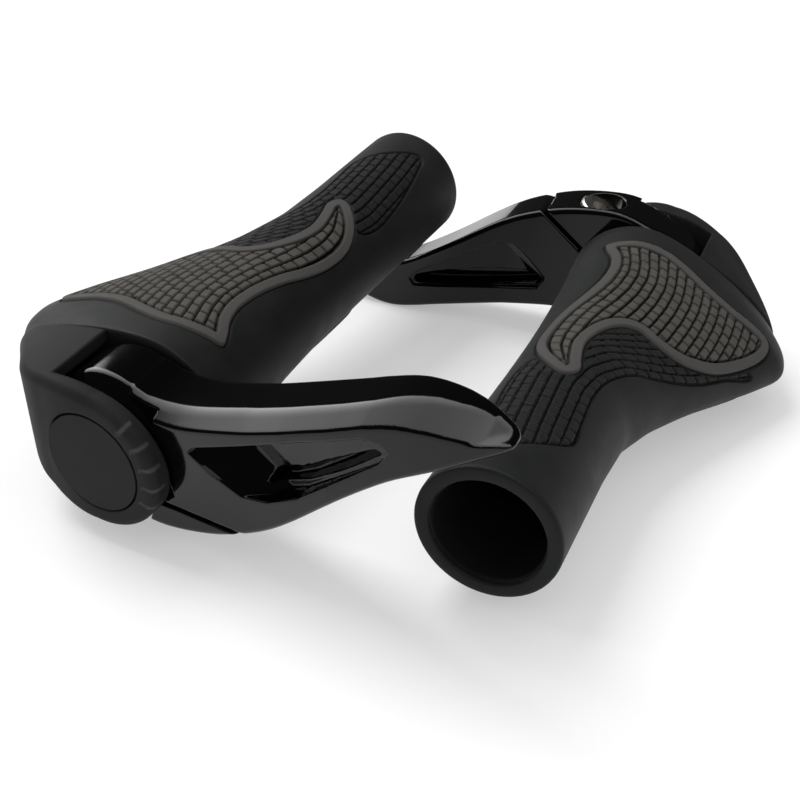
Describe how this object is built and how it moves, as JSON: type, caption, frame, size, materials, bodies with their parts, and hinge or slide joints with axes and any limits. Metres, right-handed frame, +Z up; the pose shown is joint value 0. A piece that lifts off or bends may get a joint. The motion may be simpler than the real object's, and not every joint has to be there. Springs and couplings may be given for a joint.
{
  "type": "bar end grips",
  "caption": "Black ergonomic bicycle handlebar grips with palm wings, grey textured inlays, gloss black clamp-on bar end horns and round end plugs",
  "frame": {"origin": "middle of the pair's bounding box at table level", "axes": "X to the right of the pair, Y away from the viewer, Z up"},
  "size_m": [0.1772, 0.1574, 0.051],
  "materials": {
    "black_rubber": "matte moulded rubber with a fine grain",
    "grey_inlay_rubber": "matte grey soft inlay with tile grooves",
    "core_plastic": "hard moulded plastic tube",
    "gloss_black_horn": "gloss black paint on cast aluminium",
    "zinc_bolt": "bright zinc plated steel",
    "end_cap_plastic": "satin moulded black plastic",
    "end_plug_plastic": "fine sparkle satin plastic"
  },
  "bodies": {
    "left_grip": {"left_grip_rubber": "black_rubber", "left_upper_inlay": "grey_inlay_rubber", "left_lower_inlay": "grey_inlay_rubber", "left_core_sleeve": "core_plastic", "left_end_cap": "end_cap_plastic", "left_end_plug": "end_plug_plastic"},
    "left_horn": {"left_bar_end_horn": "gloss_black_horn"},
    "left_bolt": {"left_clamp_bolt": "zinc_bolt"},
    "right_grip": {"right_grip_rubber": "black_rubber", "right_upper_inlay": "grey_inlay_rubber", "right_lower_inlay": "grey_inlay_rubber", "right_core_sleeve": "core_plastic", "right_end_cap": "end_cap_plastic", "right_end_plug": "end_plug_plastic"},
    "right_horn": {"right_bar_end_horn": "gloss_black_horn"},
    "right_bolt": {"right_clamp_bolt": "zinc_bolt"}
  },
  "joints": [
    {"name": "right_grip_lift", "type": "slide", "parent": "left_grip", "child": "right_grip", "axis": [0, 0, 1], "range_m": [0, 0.12]},
    {"name": "left_horn_turn", "type": "hinge", "parent": "left_grip", "child": "left_horn", "pos_m": [0.05792, 0.04133, 0.01997], "axis": [0.4148, 0.9097, 0.0201], "range_deg": [-37, 3]},
    {"name": "left_bolt_turn", "type": "hinge", "parent": "left_horn", "child": "left_bolt", "pos_m": [0.04474, 0.04705, 0.03344], "axis": [0.377, -0.1919, 0.9061], "range_deg": [0, 720]},
    {"name": "right_horn_turn", "type": "hinge", "parent": "right_grip", "child": "right_horn", "pos_m": [-0.05926, -0.0334, 0.02167], "axis": [-0.4908, -0.8625, -0.1236], "range_deg": [-3, 37]},
    {"name": "right_bolt_turn", "type": "hinge", "parent": "right_horn", "child": "right_bolt", "pos_m": [-0.04466, -0.04007, 0.01025], "axis": [-0.2044, 0.2519, -0.9459], "range_deg": [0, 720]}
  ]
}
